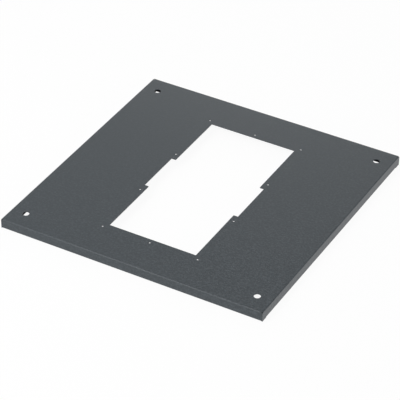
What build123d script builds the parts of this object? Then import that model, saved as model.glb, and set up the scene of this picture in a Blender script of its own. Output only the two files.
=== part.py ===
"""Enclosure top plate: a shallow square tray folded from one steel sheet.

The sheet has a wall folded down along each of its four edges, and a narrow lip folded
inwards at the foot of each wall. In the middle is a long cut-out, wider over a short
stretch of its two long sides. Pilot holes surround the cut-out, and each corner has a
larger hole.

The frame's origin is the middle of the tray's foot. The tray stands on its lips at Z = 0,
with its panel on top. X runs from left to right and Y from front to back.
"""
import os

from build123d import *

os.makedirs("parts", exist_ok=True)

# Driving dimensions, in millimetres

# The folded tray
plate_width = 600.0  # along X, over the walls
plate_length = 600.0  # along Y, over the walls
tray_depth = 21.5  # from the panel's top face to the underside of the lips
sheet_thickness = 1.5
inner_bend_radius = 0.5  # the same at every fold
lip_width = 15.0  # from a wall's outer face to its lip's inner edge

# The corners of the tray
corner_relief_diameter = 3.0  # hole where two fold lines would meet
corner_seam = 0.2  # between the end of a front or back wall and the side wall
lip_end_gap = 1.0  # between the end of a side lip and the front or back lip
lip_slit_width = 0.5  # slit at the end of a side lip, in the foot of the wall that goes on

# The cut-out
cutout_width = 200.0
cutout_length = 415.0
bay_width = 220.0  # the wider stretch, across both of its bays
bay_length = 110.0
cutout_corner_radius = 1.0

# The pilot holes round the cut-out
pilot_hole_diameter = 4.0
pilot_edge_distance = 10.0  # from a hole's centre to the cut-out's edge
side_pilot_pitch = 145.0  # between the two holes beside a long edge

# The corner holes
corner_hole_diameter = 14.0
corner_hole_inset_x = 33.5  # from a side wall's outer face to the hole's centre
corner_hole_inset_y = 40.5  # from a front or back wall's outer face to the hole's centre

# Lengths worked out from these
outer_bend_radius = inner_bend_radius + sheet_thickness
half_width = plate_width / 2
half_length = plate_length / 2
panel_half_width = half_width - outer_bend_radius
panel_half_length = half_length - outer_bend_radius
wall_top = tray_depth - outer_bend_radius
end_wall_half_width = half_width - sheet_thickness - corner_seam
side_lip_half_length = half_length - lip_width - lip_end_gap

# A fold's section is drawn with x pointing out of the tray and y up. Its plane stands at
# the middle of the edge, and its normal runs along the edge to one corner.
side_section = Plane.XZ
front_section = Plane(origin=(0, 0, 0), x_dir=(0, -1, 0), z_dir=(-1, 0, 0))


def folded_stretch(section_plane, route, start, end):
    """Sheet bent along a route, over one stretch of an edge.

    The route is the line of the sheet's outer face. Each of its corners becomes a fold.
    """
    with BuildPart() as stretch:
        with BuildSketch(section_plane.offset(start)):
            with BuildLine():
                if len(route) > 2:
                    FilletPolyline(*route, radius=outer_bend_radius)
                else:
                    Line(*route)
                offset(amount=sheet_thickness, side=Side.RIGHT)
            make_face()
        extrude(amount=end - start)
    return stretch.part


def panel_fold(reach):
    """Route of the upper fold, from the panel round to the middle of the wall."""
    return [(reach - lip_width, tray_depth), (reach, tray_depth), (reach, tray_depth / 2)]


def lipped_wall(reach):
    """Route of the wall below the upper fold, round to the inner edge of the lip."""
    return [(reach, wall_top), (reach, 0), (reach - lip_width, 0)]


def plain_wall(reach):
    """Route of the wall where it has no lip."""
    return [(reach, wall_top), (reach, 0)]


def side_edge():
    """Half of the right-hand edge, from its middle to the front corner.

    The lip stops short of the front lip. The wall goes on to the corner, past the end of
    the upper fold, and covers the end of the front wall. A slit parts its foot from the
    lip's fold.
    """
    with BuildPart() as edge:
        add(folded_stretch(side_section, panel_fold(half_width), 0, panel_half_length))
        add(folded_stretch(side_section, lipped_wall(half_width), 0, side_lip_half_length))
        add(folded_stretch(side_section, plain_wall(half_width), side_lip_half_length, half_length))
        with BuildSketch(Plane.XY):
            with Locations((half_width, -side_lip_half_length - lip_slit_width / 2)):
                Rectangle(2 * outer_bend_radius, lip_slit_width)
        extrude(amount=outer_bend_radius, mode=Mode.SUBTRACT)
    return edge.part


def front_edge():
    """Half of the front edge, from its middle to the left corner.

    The wall and its lip go on past the end of the upper fold, and butt against the side wall.
    """
    with BuildPart() as edge:
        add(folded_stretch(front_section, panel_fold(half_length), 0, panel_half_width))
        add(folded_stretch(front_section, lipped_wall(half_length), 0, end_wall_half_width))
    return edge.part


# The plate. Its edges are halves that are mirrored to all four corners.
with BuildPart() as top_plate:
    with BuildSketch(Plane.XY.offset(tray_depth)):
        Rectangle(2 * panel_half_width, 2 * panel_half_length)
    extrude(amount=-sheet_thickness)
    add(side_edge())
    add(front_edge())
    mirror(about=Plane.XZ)
    mirror(about=Plane.YZ)

    # The cut-out and its two bays, in one outline with slightly rounded corners
    with BuildSketch(Plane.XY.offset(tray_depth)) as cutout:
        Rectangle(cutout_width, cutout_length)
        Rectangle(bay_width, bay_length)
        fillet(cutout.vertices(), radius=cutout_corner_radius)
    extrude(amount=-sheet_thickness, mode=Mode.SUBTRACT)

    # Three pilot holes along each end of the cut-out
    pilot_x = cutout_width / 2 + pilot_edge_distance
    pilot_y = cutout_length / 2 + pilot_edge_distance
    with Locations(Plane.XY.offset(tray_depth)):
        with GridLocations(pilot_x, 2 * pilot_y, 3, 2):
            Hole(pilot_hole_diameter / 2, depth=sheet_thickness)

        # Two more beside each long edge, one on each side of the bay
        with GridLocations(2 * pilot_x, side_pilot_pitch, 2, 2):
            Hole(pilot_hole_diameter / 2, depth=sheet_thickness)

        # One fixing hole in each corner
        corner_pitch_x = plate_width - 2 * corner_hole_inset_x
        corner_pitch_y = plate_length - 2 * corner_hole_inset_y
        with GridLocations(corner_pitch_x, corner_pitch_y, 2, 2):
            Hole(corner_hole_diameter / 2, depth=sheet_thickness)

        # The reliefs let each pair of folds end without tearing the sheet between them
        with GridLocations(2 * panel_half_width, 2 * panel_half_length, 2, 2):
            Hole(corner_relief_diameter / 2, depth=outer_bend_radius)

top_plate.part.label = "top_plate"
export_step(top_plate.part, "parts/top_plate.step")
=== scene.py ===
# %% [markdown]
# # A folded sheet-metal plate in Blender
#
# The object is the top plate of an equipment enclosure: a shallow square tray of 1.5 mm
# steel with a long cut-out in the middle. A real one starts as a flat sheet. Its outline
# and holes are cut first. Then its four edges are folded down, and the feet of the walls
# are folded in again to make lips. At the end the whole piece is powder-coated.
#
# The lesson goes the same way. It draws the outer face of the sheet, folds included, as
# a surface with no thickness, and lets modifiers give it its thickness and soft edges.
# Then it makes the coat, lays the plate on white paper, and lights and frames it.

# %% [markdown]
# ## The frame
#
# A CAD model of the plate is loaded first and stays where it is. It has the true sizes,
# but its solid has hard edges and no finish. The piece made here takes its place, so it
# has to fill the same box. The box is measured before anything is added.

# %% Load the frame
import math

import bmesh
import bpy
from mathutils import Matrix, Vector


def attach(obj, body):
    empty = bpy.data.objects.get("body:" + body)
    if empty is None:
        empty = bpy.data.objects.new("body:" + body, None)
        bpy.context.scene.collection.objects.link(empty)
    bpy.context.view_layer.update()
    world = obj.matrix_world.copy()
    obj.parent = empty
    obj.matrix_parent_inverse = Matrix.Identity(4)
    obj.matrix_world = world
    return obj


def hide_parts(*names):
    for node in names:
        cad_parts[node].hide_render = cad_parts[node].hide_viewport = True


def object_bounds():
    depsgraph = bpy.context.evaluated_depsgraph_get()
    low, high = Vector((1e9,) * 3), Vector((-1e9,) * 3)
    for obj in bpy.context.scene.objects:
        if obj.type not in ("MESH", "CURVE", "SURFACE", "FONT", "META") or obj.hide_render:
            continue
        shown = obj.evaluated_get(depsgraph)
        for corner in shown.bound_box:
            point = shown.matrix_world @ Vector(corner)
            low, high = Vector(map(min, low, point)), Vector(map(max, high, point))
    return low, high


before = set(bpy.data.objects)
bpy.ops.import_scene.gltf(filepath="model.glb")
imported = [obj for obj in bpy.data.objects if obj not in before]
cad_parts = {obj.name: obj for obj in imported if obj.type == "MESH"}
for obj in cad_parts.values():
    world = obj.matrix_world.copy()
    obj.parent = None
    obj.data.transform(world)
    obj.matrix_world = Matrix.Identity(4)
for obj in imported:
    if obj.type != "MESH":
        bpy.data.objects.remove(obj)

cad_low, cad_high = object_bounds()
print("CAD box, in metres:", *[round(v, 4) for v in (*cad_low, *cad_high)])

# %% [markdown]
# ## Sizes
#
# Blender works in metres here, so a millimetre gets a name of its own, and each size is
# written as a workshop would give it. The overall sizes come from the CAD box, with the
# middle of the plate's foot at the origin. The rest are the sizes that a sheet-metal
# drawing would state: the sheet, its folds, the gaps at its corners and its holes.

# %% Sizes of the sheet
mm = 0.001

half_width = cad_high.x
half_length = cad_high.y
tray_depth = cad_high.z

sheet_thickness = 1.5 * mm
fold_radius = 2 * mm  # of a fold's outer face
lip_width = 15 * mm  # from a wall's outer face to its lip's inner edge

panel_half_width = half_width - fold_radius
panel_half_length = half_length - fold_radius
wall_top = tray_depth - fold_radius
print("flat part of the panel, in mm:", round(2 * panel_half_width / mm), "square")

# %% Sizes of the corners
relief_radius = 1.5 * mm  # of the notch where two fold lines would meet
corner_seam = 0.2 * mm  # between the end of a front or back wall and the side wall
lip_end_gap = 1 * mm  # between the end of a side lip and the front or back lip
lip_slit = 0.5 * mm  # beside the end of a side lip, where the wall goes on without it

end_wall_reach = half_width - sheet_thickness - corner_seam
side_lip_reach = half_length - lip_width - lip_end_gap
print("a side lip ends", round((half_length - side_lip_reach) / mm, 2), "mm from the corner")

# %% Sizes of the cut-out
cutout_width = 200 * mm
cutout_length = 415 * mm
bay_width = 220 * mm  # where the cut-out is wider
bay_length = 110 * mm
cutout_corner_radius = 1 * mm
print("each bay is", round((bay_width - cutout_width) / 2 / mm), "mm deep")

# %% Sizes of the round holes
pilot_radius = 2 * mm
pilot_edge_distance = 10 * mm  # from a hole's centre to the cut-out's edge
side_pilot_pitch = 145 * mm  # between the two holes beside a long edge

corner_hole_radius = 7 * mm
corner_hole_inset_x = 33.5 * mm
corner_hole_inset_y = 40.5 * mm

pilot_x = cutout_width / 2 + pilot_edge_distance
pilot_y = cutout_length / 2 + pilot_edge_distance
side_pilot_y = side_pilot_pitch / 2
corner_hole_x = half_width - corner_hole_inset_x
corner_hole_y = half_length - corner_hole_inset_y
print("corner holes, in mm:", round(2 * corner_hole_x / mm), "by", round(2 * corner_hole_y / mm), "apart")

# %% [markdown]
# ## Outlines
#
# The cutting machine follows outlines on the flat sheet, and so does this step. Each is
# a list of points in the plane of the panel's top face. Circles and rounded corners are
# short steps along an arc, so one function draws them all. Twelve steps to a quarter
# turn look round even from close by.

# %% Arcs
STEPS_PER_QUARTER = 12


def arc(x, y, radius, start, turn, steps_per_quarter=STEPS_PER_QUARTER):
    """Points along an arc about (x, y). The start and the turn are in degrees."""
    steps = round(abs(turn) / 90 * steps_per_quarter)
    angles = [math.radians(start + turn * k / steps) for k in range(steps + 1)]
    return [(x + radius * math.cos(a), y + radius * math.sin(a)) for a in angles]


def circle(x, y, radius):
    """Points round a circle, each of them once."""
    return arc(x, y, radius, 0, 360)[:-1]


print("points round a hole:", len(circle(0, 0, pilot_radius)))

# %% [markdown]
# The panel is the flat part between the fold lines. A round notch at each of its corners
# lets the two folds there end without tearing the sheet. In the picture it is the dark
# dot at the very corner.

# %% Outline of the panel
panel_outline = []
for x_sign, y_sign, start in ((1, 1, 270), (-1, 1, 0), (-1, -1, 90), (1, -1, 180)):
    x, y = x_sign * panel_half_width, y_sign * panel_half_length
    panel_outline += arc(x, y, relief_radius, start, -90)
print("points round the panel:", len(panel_outline))

# %% [markdown]
# The cut-out is a rectangle with a shallow bay on either side. One half is enough: turned
# by half a turn, it is the other half. Where a bay ends, a corner points into the
# opening, so its arc turns the other way.

# %% Outline of the cut-out
def cutout_half():
    """Points round the right half of the cut-out, anticlockwise."""
    r = cutout_corner_radius
    x, y = cutout_width / 2, cutout_length / 2
    bay_x, bay_y = bay_width / 2, bay_length / 2
    return (
        arc(x - r, r - y, r, 270, 90)
        + arc(x + r, -bay_y - r, r, 180, -90)
        + arc(bay_x - r, r - bay_y, r, 270, 90)
        + arc(bay_x - r, bay_y - r, r, 0, 90)
        + arc(x + r, bay_y + r, r, 270, -90)
        + arc(x - r, y - r, r, 0, 90)
    )


cutout_outline = cutout_half() + [(-x, -y) for x, y in cutout_half()]
print("points round the cut-out:", len(cutout_outline))

# %% [markdown]
# The small pilot holes take the screws of whatever covers the cut-out: three along each
# end and two beside each long edge. The four larger ones fix the plate by its corners.

# %% Outlines of the round holes
pilots = [(x, y) for x in (-pilot_x, 0, pilot_x) for y in (-pilot_y, pilot_y)]
pilots += [(x, y) for x in (-pilot_x, pilot_x) for y in (-side_pilot_y, side_pilot_y)]
corner_holes = [
    (x, y) for x in (-corner_hole_x, corner_hole_x) for y in (-corner_hole_y, corner_hole_y)
]

hole_outlines = [circle(x, y, pilot_radius) for x, y in pilots]
hole_outlines += [circle(x, y, corner_hole_radius) for x, y in corner_holes]
print("pilot holes:", len(pilots), "corner holes:", len(corner_holes))

# %% [markdown]
# ## The panel
#
# A face can't have a hole in it, so the panel becomes many triangles that fit between
# the outlines. A Boolean modifier could cut the holes too, but it needs a solid for each
# of them and is harder to keep clean. `triangle_fill` needs only the edges and finds the
# triangles by itself.

# %% Fill the panel
def add_loop(mesh, points, z):
    """Closed loop of edges through the points, all at one height."""
    verts = [mesh.verts.new((x, y, z)) for x, y in points]
    return [mesh.edges.new((verts[k - 1], verts[k])) for k in range(len(verts))]


skin = bmesh.new()
edges = []
for outline in (panel_outline, cutout_outline, *hole_outlines):
    edges += add_loop(skin, outline, tray_depth)
bmesh.ops.triangle_fill(skin, use_beauty=True, edges=edges, normal=(0, 0, 1))
print("triangles in the panel:", len(skin.faces))

# %% [markdown]
# ## The folded edges
#
# Seen from its end, a folded edge is a line: out of the panel, round the upper fold, down
# the wall, round the lower fold and in along the lip. Every point of that line is drawn
# out along the plate, and faces join each drawn line to the next. A Bevel on a square
# corner would round the folds as well, but here each line has its own ends, because the
# relief, the slit and the gaps at the corners all cut into them.
#
# The four edges differ only in how far each part reaches towards the corners. The side
# walls run right to the corners, and the front and back walls fit between them. So one
# function draws an edge as if it were on the right, and turns it into place.

# %% Reach of the upper fold
def fold_reach(out, edge, fold_end):
    """How far the upper fold goes along the plate at one distance out of it.

    The relief is a round hole about the point where two fold lines would meet, so it
    cuts the inner part of the fold short.
    """
    past_fold_line = out - (edge - fold_radius)
    if past_fold_line >= relief_radius:
        return fold_end
    return fold_end - math.sqrt(relief_radius**2 - past_fold_line**2)


reach = fold_reach(half_width - fold_radius, half_width, panel_half_length)
print("the relief takes", round((panel_half_length - reach) / mm, 2), "mm off the start of a fold")


# %% Outline of a wall
def wall_outline(fold_end, wall_end, lip_end):
    """Points round a wall's flat part as (along, z), anticlockwise seen from outside."""
    half = [(lip_end, fold_radius)]
    if wall_end > lip_end:  # the wall goes on past its lip, and a slit parts its foot
        foot_start = lip_end + lip_slit
        half += [(foot_start, fold_radius), (foot_start, 0), (wall_end, 0)]
    half += [(wall_end, wall_top), (fold_end, wall_top)]
    return half + [(-along, z) for along, z in reversed(half)]


side_wall = wall_outline(panel_half_length, half_length, side_lip_reach)
end_wall = wall_outline(panel_half_width, end_wall_reach, end_wall_reach)
print("points round a side wall:", len(side_wall), "round an end wall:", len(end_wall))


# %% Draw an edge and turn it into place
FOLD_STEPS = 8  # to each quarter turn


def add_folded_edge(mesh, quarter_turns, edge, fold_end, wall, lip_end):
    """Upper fold, wall, lower fold and lip. The ends are measured from the edge's middle."""
    turned = Matrix.Rotation(math.radians(90 * quarter_turns), 3, "Z")

    def vertex(out, along, z):
        return mesh.verts.new(turned @ Vector((out, along, z)))

    def join(lines):
        """Faces between drawn lines, each given as (out, z, end)."""
        drawn = [[vertex(out, along, z) for along in (-end, end)] for out, z, end in lines]
        for (a, b), (c, d) in zip(drawn, drawn[1:]):
            mesh.faces.new((a, c, d, b))

    round_out = edge - fold_radius
    upper = arc(round_out, wall_top, fold_radius, 90, -90, FOLD_STEPS)
    lower = arc(round_out, fold_radius, fold_radius, 0, -90, FOLD_STEPS)
    join([(out, z, fold_reach(out, edge, fold_end)) for out, z in upper])
    mesh.faces.new([vertex(edge, along, z) for along, z in wall])
    join([(out, z, lip_end) for out, z in lower] + [(edge - lip_width, 0, lip_end)])


print("degrees to a step of a fold:", 90 / FOLD_STEPS)

# %% [markdown]
# The parts of an edge are drawn one by one, so they only lie beside each other at first.
# Merging the points that share a place sews them to each other and to the panel. The
# hundredth of a millimetre is far less than the narrowest gap that has to stay open.

# %% Add the four edges
SEWING_DISTANCE = 0.01 * mm

for quarter_turns in (0, 2):
    add_folded_edge(skin, quarter_turns, half_width, panel_half_length, side_wall, side_lip_reach)
for quarter_turns in (1, 3):
    add_folded_edge(skin, quarter_turns, half_length, panel_half_width, end_wall, end_wall_reach)
bmesh.ops.remove_doubles(skin, verts=skin.verts, dist=SEWING_DISTANCE)
print("faces in the whole skin:", len(skin.faces))


# %% [markdown]
# ## Thickness and edges
#
# The skin becomes an object, and modifiers do the rest, so that the drawing stays simple
# and every size can still be changed. Solidify grows the sheet inwards from its outer
# face, which keeps the outer size exact. Its even offset keeps the full thickness round
# the folds.

# %% Make the object
def make_piece(name, mesh):
    """Object made from a bmesh, smooth-shaded, in the scene."""
    data = bpy.data.meshes.new(name)
    mesh.to_mesh(data)
    mesh.free()
    data.shade_smooth()
    piece = bpy.data.objects.new(name, data)
    bpy.context.scene.collection.objects.link(piece)
    return piece


plate = make_piece("folded_plate", skin)
print("points in the skin:", len(plate.data.vertices))

# %% Sheet thickness
INWARDS = -1  # 1 would be outwards, and 0 half and half

solidify = plate.modifiers.new("sheet thickness", "SOLIDIFY")
solidify.thickness = sheet_thickness
solidify.offset = INWARDS
solidify.use_even_offset = True
solidify.use_quality_normals = True
print("sheet, in mm:", round(solidify.thickness / mm, 2))

# %% [markdown]
# A cut edge of real sheet is sharp, but the coat draws back from it as it melts and
# rounds it off, and that small round is what catches the light. Bevel adds it wherever
# two faces meet at a steep angle. The steps of the folds are too gentle to count.
#
# Smooth shading alone would bend the light across the flat panel near its rims. Weighted
# Normal lets the large faces set the shading, so the panel stays flat right up to them.

# %% Coated edges
COATED_EDGE_RADIUS = 0.12 * mm
COATED_EDGE_STEPS = 2
STEEP_ANGLE = 40  # degrees
LARGE_FACES_DECIDE = 100  # 50 is neutral, and more gives large faces more say

bevel = plate.modifiers.new("coated edges", "BEVEL")
bevel.width = COATED_EDGE_RADIUS
bevel.segments = COATED_EDGE_STEPS
bevel.limit_method = "ANGLE"
bevel.angle_limit = math.radians(STEEP_ANGLE)
bevel.face_strength_mode = "FSTR_AFFECTED"

flat_faces = plate.modifiers.new("flat faces stay flat", "WEIGHTED_NORMAL")
flat_faces.use_face_influence = True
flat_faces.weight = LARGE_FACES_DECIDE
print("modifiers:", [modifier.name for modifier in plate.modifiers])

# %% [markdown]
# The plate is one piece of sheet. It stands for the CAD model's one solid, and rides on
# its one body.

# %% Take the solid's place
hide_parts("top_plate")
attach(plate, "root")
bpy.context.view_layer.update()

# %% [markdown]
# ## Tools for the materials
#
# Colours are written as sRGB hex values, as a paint program shows them. Blender's
# shaders add up light, and light is linear, so one function turns them. Another adds a
# node with its settings and links in one go, which lets a material be read from top to
# bottom as it is built.

# %% Colours
def linear(hex_colour):
    """Linear RGBA from an sRGB hex value."""
    channels = [int(hex_colour[k:k + 2], 16) / 255 for k in (1, 3, 5)]
    return (*[c / 12.92 if c <= 0.04045 else ((c + 0.055) / 1.055) ** 2.4 for c in channels], 1)


WHITE = linear("#ffffff")
print("half grey in linear light:", round(linear("#808080")[0], 3))


# %% Nodes
def add_node(tree, kind, inputs, **settings):
    """Node with its settings, and with each input set to a value or linked to an output."""
    node = tree.nodes.new(kind)
    for name, value in settings.items():
        setattr(node, name, value)
    for name, value in inputs.items():
        if isinstance(value, bpy.types.NodeSocket):
            tree.links.new(value, node.inputs[name])
        else:
            node.inputs[name].default_value = value
    return node


def new_material(name):
    """Material with no nodes yet. Returns it and its node tree."""
    material = bpy.data.materials.new(name)
    material.use_nodes = True
    material.node_tree.nodes.clear()
    return material, material.node_tree


print("tools:", add_node.__name__, "and", new_material.__name__)

# %% [markdown]
# ## Powder-coated steel
#
# The finish is a polyester powder coat, satin, fine-textured and dark blue-grey. Dry
# powder is sprayed on, clings to the steel by its static charge, and melts into one skin
# in an oven. The steel below never shows. So the coat is a plastic: it isn't metallic,
# its IOR is just under 1.5, and all its colour comes from inside. A roughness of about
# 0.3 makes it satin: it spreads each lamp into a broad pale sheen with no outline.
#
# As it melts, the skin draws together into fine crests and hollows. The crests flow
# smooth and catch the light, and the hollows lie in their own shade and look duller.
# That light and shade are painted into the colour here: painted shade in the hollows
# and a painted highlight on the crests. A picture of real paint could show that, but
# it would repeat and would have to be fitted to the mesh. Noise in the object's own
# space does neither, and it runs on round each fold.

# %% Start the coat
coat, tree = new_material("powder-coated steel")
place = add_node(tree, "ShaderNodeTexCoord", {}).outputs["Object"]
print("material:", coat.name)

# %% [markdown]
# A real grain of this coat is about 0.3 mm wide. One pixel of a picture of the whole
# plate covers about 2 mm, so true grain would average out to a flat colour. It is drawn
# 14 times as coarse, which is as fine as can show.
#
# Noise is built on a lattice of cubes, and it is weaker on the planes between them. The
# flat panel could lie along such a plane, so the lattice is turned away from it.

# %% Grain
REAL_GRAIN = 0.3 * mm
DRAWN_COARSER = 14
FINER_LAYERS = 2  # each of them half as wide as the one before
LAYER_SHARE = 0.6  # of each finer layer's height, to the one before
LATTICE_TURN = (0.5, 0.3, 0)  # radians, no special angle

turned_place = add_node(tree, "ShaderNodeMapping", {"Vector": place, "Rotation": LATTICE_TURN})
noise = add_node(tree, "ShaderNodeTexNoise", {
    "Vector": turned_place.outputs["Vector"],
    "Scale": 1 / (REAL_GRAIN * DRAWN_COARSER),
    "Detail": FINER_LAYERS,
    "Roughness": LAYER_SHARE,
})
print("drawn grain, in mm:", round(REAL_GRAIN * DRAWN_COARSER / mm, 2))

# %% [markdown]
# Noise rises as far as it falls. The coat's crests stand up more sharply than its
# hollows go down. So the height is measured from the noise's middle value, and its
# square, times a factor, is added. That lifts the crests and fills up the hollows.

# %% Crests and hollows
NOISE_MIDDLE = 0.5
CREST_SHARPNESS = 2.0  # 0 would leave the noise as it is

centred = add_node(
    tree, "ShaderNodeMath", {0: noise.outputs["Fac"], 1: NOISE_MIDDLE}, operation="SUBTRACT"
).outputs[0]
lift = add_node(
    tree, "ShaderNodeMath", {0: centred, 1: CREST_SHARPNESS}, operation="MULTIPLY"
).outputs[0]
sharpened = add_node(
    tree, "ShaderNodeMath", {0: lift, 1: centred, 2: centred}, operation="MULTIPLY_ADD"
).outputs[0]
print("height = h + k h^2, with h from the noise's middle and k", CREST_SHARPNESS)

# %% [markdown]
# The grain isn't equally strong all over. In the photograph it fades from the front
# right corner to the back left one, more along the plate than across it, and fastest
# near the front. So its height, which drives both the bump and the painted shade and
# highlight in the colour, is scaled by a strength, which grows with the square of how
# far a place lies on the way to the front right.

# %% Grain that fades to the back left
TO_STRONGEST = Vector((0.55, -0.85, 0)).normalized()
GRAIN_AT_FRONT_RIGHT = 0.87
GRAIN_AT_BACK_LEFT = 0.15

corner_distance = TO_STRONGEST.dot(Vector((half_width, -half_length, 0)))
along = add_node(
    tree, "ShaderNodeVectorMath", {0: place, 1: TO_STRONGEST}, operation="DOT_PRODUCT"
).outputs["Value"]
way = add_node(tree, "ShaderNodeMapRange", {
    "Value": along, "From Min": -corner_distance, "From Max": corner_distance,
}).outputs["Result"]
squared = add_node(tree, "ShaderNodeMath", {0: way, 1: way}, operation="MULTIPLY").outputs[0]
strength = add_node(tree, "ShaderNodeMapRange", {
    "Value": squared, "To Min": GRAIN_AT_BACK_LEFT, "To Max": GRAIN_AT_FRONT_RIGHT,
})
grain = add_node(
    tree, "ShaderNodeMath", {0: sharpened, 1: strength.outputs["Result"]}, operation="MULTIPLY"
).outputs[0]
print("the grain fades over", round(2 * corner_distance / mm), "mm")

# %% [markdown]
# The grain shows in three ways. Bump tilts the surface with it, so that light picks out
# the slopes. The colour goes from a darker hollow to a lighter crest, which is painted
# shade in the hollows and a painted highlight on the crests. And the hollows are a
# little rougher. Its value is near 0 in the middle, and few places lie beyond 0.2 either
# way, so that range carries the two colours and the two roughnesses.

# %% Relief, colour and gloss of the grain
GRAIN_HEIGHT = 0.4 * mm
GRAIN_RANGE = 0.2
# The hollow colour is painted shade, and the crest colour a painted highlight.
HOLLOW_PAINTED_SHADE = "#242b30"
CREST_PAINTED_HIGHLIGHT = "#484f54"
HOLLOW_ROUGHNESS = 0.33
CREST_ROUGHNESS = 0.27
MIX_A, MIX_B, MIX_RESULT = 6, 7, 2  # sockets of a Mix node for colours

bump = add_node(tree, "ShaderNodeBump", {"Height": grain, "Distance": GRAIN_HEIGHT, "Strength": 1.0})
crest_share = add_node(tree, "ShaderNodeMapRange", {
    "Value": grain, "From Min": -GRAIN_RANGE, "From Max": GRAIN_RANGE,
}, clamp=False)
colour = add_node(tree, "ShaderNodeMix", {
    0: crest_share.outputs["Result"], MIX_A: linear(HOLLOW_PAINTED_SHADE), MIX_B: linear(CREST_PAINTED_HIGHLIGHT),
}, data_type="RGBA")
roughness = add_node(tree, "ShaderNodeMapRange", {
    "Value": grain,
    "From Min": -GRAIN_RANGE,
    "From Max": GRAIN_RANGE,
    "To Min": HOLLOW_ROUGHNESS,
    "To Max": CREST_ROUGHNESS,
})
print("hollow", HOLLOW_PAINTED_SHADE, "crest", CREST_PAINTED_HIGHLIGHT)

# %% Coat
PLASTIC_IOR = 1.47

shader = add_node(tree, "ShaderNodeBsdfPrincipled", {
    "Base Color": colour.outputs[MIX_RESULT],
    "Roughness": roughness.outputs["Result"],
    "IOR": PLASTIC_IOR,
    "Normal": bump.outputs["Normal"],
})
add_node(tree, "ShaderNodeOutputMaterial", {"Surface": shader.outputs["BSDF"]})
plate.data.materials.append(coat)
print("nodes in the coat:", len(tree.nodes))

# %% [markdown]
# ## White paper floor
#
# The plate lies on white paper that reaches far beyond the picture. It lies a hair lower
# than the lips, because two faces in one plane would flicker through each other.

# %% Floor
FLOOR_HALF_SIZE = 30.0
FLOOR_DROP = 0.2 * mm

floor_mesh = bmesh.new()
floor_mesh.faces.new([
    floor_mesh.verts.new((x * FLOOR_HALF_SIZE, y * FLOOR_HALF_SIZE, -FLOOR_DROP))
    for x, y in ((-1, -1), (1, -1), (1, 1), (-1, 1))
])
floor = make_piece("floor", floor_mesh)
print("floor, in metres:", 2 * FLOOR_HALF_SIZE, "square")

# %% [markdown]
# The picture's background is plain white. Lamps strong enough to make paper look so
# would wash out the plate. Instead, Light Path tells the material which rays look at the
# paper: those of the camera, of reflections and of clear materials. They see mostly a
# plain glow of strength 1, which is white, and a small share of the paper as it is lit,
# which keeps the plate's shadow. All other light finds only matt paper there.

# %% Paper
GLOW_SHARE = 0.94
PAPER = "#f4f4f4"

paper, tree = new_material("white paper")
rays = add_node(tree, "ShaderNodeLightPath", {}).outputs
camera_or_glossy = add_node(
    tree, "ShaderNodeMath", {0: rays["Is Camera Ray"], 1: rays["Is Glossy Ray"]}, operation="ADD"
)
looking = add_node(tree, "ShaderNodeMath", {
    0: camera_or_glossy.outputs[0], 1: rays["Is Transmission Ray"],
}, operation="ADD", use_clamp=True)
share = add_node(tree, "ShaderNodeMath", {0: looking.outputs[0], 1: GLOW_SHARE}, operation="MULTIPLY")
lit = add_node(tree, "ShaderNodeBsdfDiffuse", {"Color": linear(PAPER)})
glow = add_node(tree, "ShaderNodeEmission", {"Color": WHITE, "Strength": 1.0})
front = add_node(tree, "ShaderNodeMixShader", {0: share.outputs[0], 1: lit.outputs[0], 2: glow.outputs[0]})
print("shadow shows at", round(1 - GLOW_SHARE, 2), "of its full depth")

# %% [markdown]
# The plate is also looked at from below. From there the paper is in the way, so its
# back is clear.

# %% Clear back of the paper
back = add_node(tree, "ShaderNodeNewGeometry", {}).outputs["Backfacing"]
clear = add_node(tree, "ShaderNodeBsdfTransparent", {})
one_sided = add_node(tree, "ShaderNodeMixShader", {0: back, 1: front.outputs[0], 2: clear.outputs[0]})
add_node(tree, "ShaderNodeOutputMaterial", {"Surface": one_sided.outputs[0]})
floor.data.materials.append(paper)
print("nodes in the paper:", len(tree.nodes))

# %% [markdown]
# ## Light
#
# The room is a studio with white walls under a dimmer ceiling. The walls have strength
# 1, which is white, as the paper's glow is, so the floor runs into them with no horizon.
# Towards the ceiling the light falls off. Seen from the camera, the back of the panel
# mirrors a lower and so brighter part of the room than the front does, which gives the
# satin its slow change from back to front.
#
# The world's own direction gives the height: its Z is 0 at the horizon and 1 overhead.

# %% Room
WALLS_END = 0.4
CEILING_START = 0.8
WALL_LIGHT = 1.0
CEILING_LIGHT = 0.2

room = bpy.data.worlds.new("studio room")
room.use_nodes = True
bpy.context.scene.world = room
tree = room.node_tree
tree.nodes.clear()
direction = add_node(tree, "ShaderNodeTexCoord", {}).outputs["Generated"]
height = add_node(tree, "ShaderNodeSeparateXYZ", {"Vector": direction}).outputs["Z"]
level = add_node(tree, "ShaderNodeMapRange", {
    "Value": height,
    "From Min": WALLS_END,
    "From Max": CEILING_START,
    "To Min": WALL_LIGHT,
    "To Max": CEILING_LIGHT,
})
background = add_node(
    tree, "ShaderNodeBackground", {"Color": WHITE, "Strength": level.outputs["Result"]}
)
add_node(tree, "ShaderNodeOutputWorld", {"Surface": background.outputs["Background"]})
print("the walls end", round(math.degrees(math.asin(WALLS_END))), "degrees up")


# %% [markdown]
# Five softboxes do the rest. A softbox is a lamp behind a large white cloth, and an area
# lamp is one in Blender. Together with the room they light the panel at a plain level,
# where a white card would just show white. The lamps differ in strength, because each
# face of the plate should have its own even tone: the right wall is the palest, the
# front wall and the panel are darker, and the panel is brightest at its back left.
#
# A satin panel mirrors a low or small lamp as a glaring patch when it is looked at from
# the lamp's far side. So the two strongest lamps, the upper left and the front left,
# stand high and are large, which spreads their light into a soft sheen. The camera also
# sees them both in the round of the front fold, and that draws the fine pale line
# between the panel and the front wall.

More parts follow.
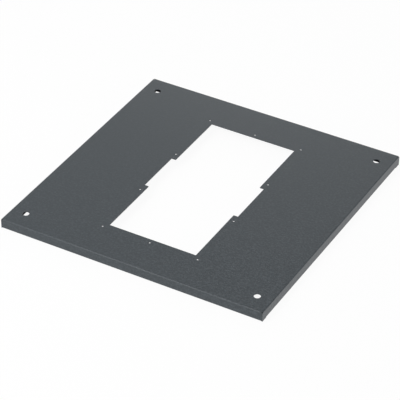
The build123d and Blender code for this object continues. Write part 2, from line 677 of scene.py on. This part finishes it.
# %% Softboxes
def softbox(name, place, aim, width, height, power):
    """Rectangular area lamp that faces a point. Sizes are in metres, the power in watts."""
    data = bpy.data.lights.new(name, "AREA")
    data.shape = "RECTANGLE"
    data.size = width
    data.size_y = height
    data.energy = power
    lamp = bpy.data.objects.new(name, data)
    lamp.location = place
    lamp.rotation_euler = (Vector(aim) - Vector(place)).to_track_quat("-Z", "Y").to_euler()
    lamp.visible_camera = False
    bpy.context.scene.collection.objects.link(lamp)
    print(name, "stands", round(Vector(place).length, 2), "m away")


MIDDLE = (0, 0, 0)
FRONT_EDGE = (0, -half_length, 0)

softbox("back softbox", (-1.0, 3.0, 0.9), MIDDLE, width=1.4, height=0.7, power=8.5)
softbox("back left softbox", (-1.9, 2.6, 0.9), MIDDLE, width=1.4, height=0.7, power=3.8)
softbox("upper left softbox", (-0.8, -0.4, 1.9), MIDDLE, width=1.2, height=1.0, power=10.2)
softbox("front left softbox", (-1.05, -2.1, 2.1), FRONT_EDGE, width=1.4, height=1.4, power=35)
softbox("right softbox", (2.4, 0.0, 0.6), MIDDLE, width=1.4, height=0.9, power=4.2)

# %% [markdown]
# ## Camera
#
# The picture was taken from the front right and well above, with a long lens: the edges
# of the square plate hardly draw together with distance. The camera was solved from
# those straight edges, which give its place, its aim and its lens all at once.

# %% Camera
CAMERA_PLACE = Vector((1.7841, -3.1169, 2.6198))
CAMERA_AIM = Vector((0.01533, -0.04391, tray_depth))
FOCAL_LENGTH = 194.06  # in millimetres, on a sensor of full width
SENSOR_WIDTH = 36.0

camera_data = bpy.data.cameras.new("camera")
camera_data.lens = FOCAL_LENGTH
camera_data.sensor_width = SENSOR_WIDTH
camera = bpy.data.objects.new("camera", camera_data)
camera.location = CAMERA_PLACE
camera.rotation_euler = (CAMERA_AIM - CAMERA_PLACE).to_track_quat("-Z", "Y").to_euler()
bpy.context.scene.collection.objects.link(camera)
bpy.context.scene.camera = camera

line_of_sight = CAMERA_AIM - CAMERA_PLACE
down_angle = math.degrees(math.asin(-line_of_sight.z / line_of_sight.length))
print("camera", round(line_of_sight.length, 2), "m away, looking down at", round(down_angle, 1), "degrees")

# %% [markdown]
# ## Finish
#
# The standard view transform shows a colour as it was written, and white as white.

# %% Finish
bpy.context.scene.view_settings.view_transform = "Standard"
